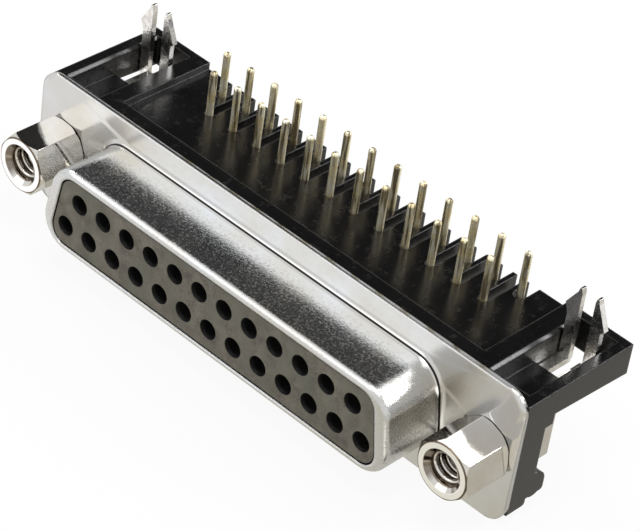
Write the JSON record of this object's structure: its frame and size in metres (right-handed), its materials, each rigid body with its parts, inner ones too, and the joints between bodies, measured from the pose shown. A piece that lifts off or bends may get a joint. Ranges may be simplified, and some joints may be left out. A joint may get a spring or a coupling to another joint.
{
  "type": "right-angle d-sub socket connector",
  "caption": "Right-angle two-row D-sub socket for a circuit board: steel D-shaped nose and flange, plastic housing with a tail comb, hex jackscrews and forked board locks.",
  "frame": {"origin": "on the connector's axis, midway between the two fixing holes, in the front plane of the flange", "axes": "+X along the contact rows, -Y out of the mating face towards the plug, +Z towards the circuit board"},
  "size_m": [0.053, 0.0186, 0.016],
  "materials": {
    "nickel_steel": "bright nickel plate over drawn sheet steel",
    "insulator_plastic": "satin warm grey moulded plastic",
    "housing_plastic": "glossy black moulded plastic",
    "contact_alloy": "pale gold plate",
    "lock_tin": "bright tin plate",
    "jackscrew_nickel": "turned and bright nickel plated",
    "nut_nickel": "nickel plate"
  },
  "bodies": {
    "root": {"front_shell": "nickel_steel", "front_insulator": "insulator_plastic", "rear_housing": "housing_plastic", "contact_01": "contact_alloy", "contact_02": "contact_alloy", "contact_03": "contact_alloy", "contact_04": "contact_alloy", "contact_05": "contact_alloy", "contact_06": "contact_alloy", "contact_07": "contact_alloy", "contact_08": "contact_alloy", "contact_09": "contact_alloy", "contact_10": "contact_alloy", "contact_11": "contact_alloy", "contact_12": "contact_alloy", "contact_13": "contact_alloy", "contact_14": "contact_alloy", "contact_15": "contact_alloy", "contact_16": "contact_alloy", "contact_17": "contact_alloy", "contact_18": "contact_alloy", "contact_19": "contact_alloy", "contact_20": "contact_alloy", "contact_21": "contact_alloy", "contact_22": "contact_alloy", "contact_23": "contact_alloy", "contact_24": "contact_alloy", "contact_25": "contact_alloy", "board_lock_left": "lock_tin", "board_lock_right": "lock_tin", "jackscrew_left": "jackscrew_nickel", "jackscrew_right": "jackscrew_nickel", "lock_nut_left": "nut_nickel", "lock_nut_right": "nut_nickel"}
  },
  "joints": []
}
